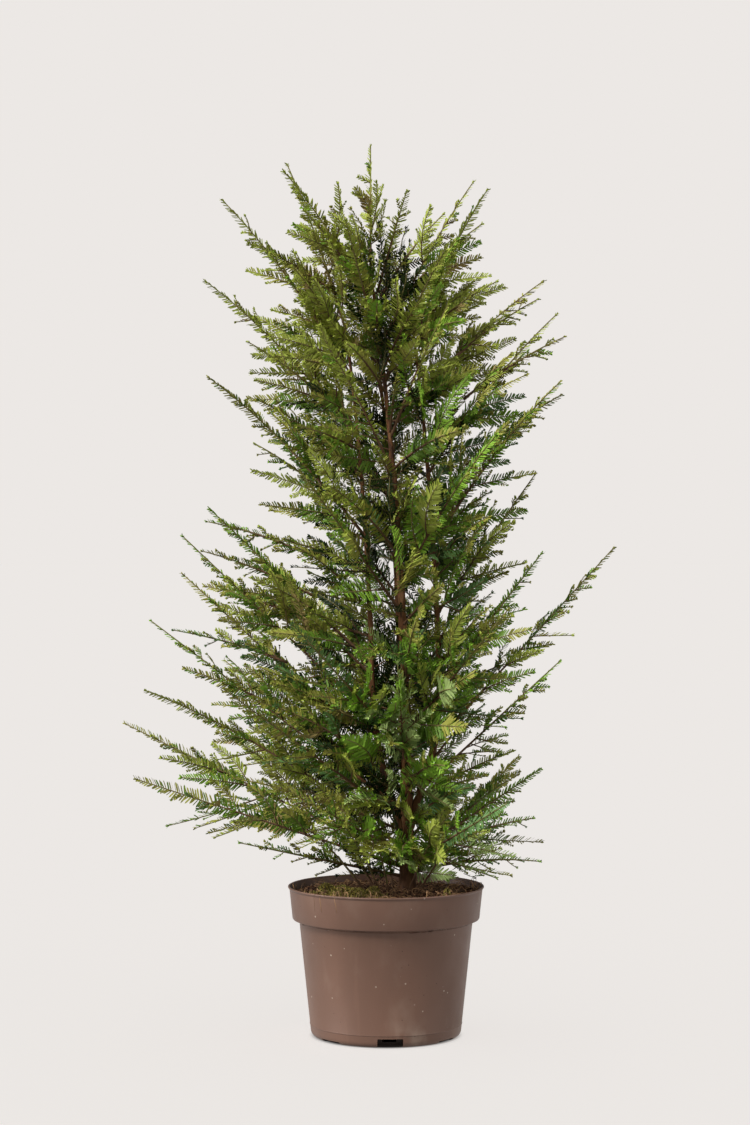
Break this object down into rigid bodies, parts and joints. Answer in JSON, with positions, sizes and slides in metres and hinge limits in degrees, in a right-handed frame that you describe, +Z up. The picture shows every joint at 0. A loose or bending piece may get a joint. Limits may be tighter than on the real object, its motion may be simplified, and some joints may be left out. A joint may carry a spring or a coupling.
{
  "type": "potted yew",
  "caption": "Upright yew shrub with slender leaning stems and open sprays of flat needles, standing in a round brown nursery pot with a stepped rim and filled with soil.",
  "frame": {"origin": "middle of the pot's flat underside, on the surface that the pot stands on", "axes": "+Z up, +X to the plant's right as pictured, -Y towards the viewer"},
  "size_m": [0.7106, 0.4565, 1.268],
  "materials": {
    "pot_plastic": "moulded, slightly rough, dusty",
    "potting_soil": "moist fibrous potting soil",
    "yew_bark": "reddish brown flaking bark",
    "yew_needles": "semi-matt olive to yellow-green needles"
  },
  "bodies": {
    "root": {"bough_back_low_left": "yew_bark", "bough_back_low_right": "yew_bark", "bough_front_low_left": "yew_bark", "bough_front_shoot": "yew_bark", "bough_left_fan": "yew_bark", "bough_left_mid": "yew_bark", "bough_left_wide": "yew_bark", "bough_left_wide_low": "yew_bark", "bough_right_far": "yew_bark", "bough_right_wide": "yew_bark", "foliage_back_high_left": "yew_needles", "foliage_back_high_right": "yew_needles", "foliage_back_low_left": "yew_needles", "foliage_back_low_right": "yew_needles", "foliage_back_mid_left": "yew_needles", "foliage_back_mid_right": "yew_needles", "foliage_back_upper": "yew_needles", "foliage_front_high_left": "yew_needles", "foliage_front_high_right": "yew_needles", "foliage_front_low_left": "yew_needles", "foliage_front_low_right": "yew_needles", "foliage_front_mid_left": "yew_needles", "foliage_front_mid_right": "yew_needles", "foliage_front_shoot": "yew_needles", "foliage_front_top_left": "yew_needles", "foliage_front_top_right": "yew_needles", "foliage_front_upper_left": "yew_needles", "foliage_front_upper_right": "yew_needles", "foliage_leader": "yew_needles", "foliage_left_fan": "yew_needles", "foliage_left_high": "yew_needles", "foliage_left_inner_back": "yew_needles", "foliage_left_inner_front": "yew_needles", "foliage_left_low": "yew_needles", "foliage_left_mid": "yew_needles", "foliage_left_mid_high": "yew_needles", "foliage_left_mid_low": "yew_needles", "foliage_left_top": "yew_needles", "foliage_left_upper": "yew_needles", "foliage_left_upper_low": "yew_needles", "foliage_left_wide": "yew_needles", "foliage_left_wide_low": "yew_needles", "foliage_right_far": "yew_needles", "foliage_right_high": "yew_needles", "foliage_right_low": "yew_needles", "foliage_right_mid": "yew_needles", "foliage_right_mid_high": "yew_needles", "foliage_right_upper": "yew_needles", "foliage_right_upper_low": "yew_needles", "foliage_right_wide": "yew_needles", "foliage_right_wide_low": "yew_needles", "foliage_top_back": "yew_needles", "foliage_top_left": "yew_needles", "foliage_top_right": "yew_needles", "pot": "pot_plastic", "soil": "potting_soil", "stem_back": "yew_bark", "stem_left": "yew_bark", "stem_right": "yew_bark", "trunk": "yew_bark"}
  },
  "joints": []
}
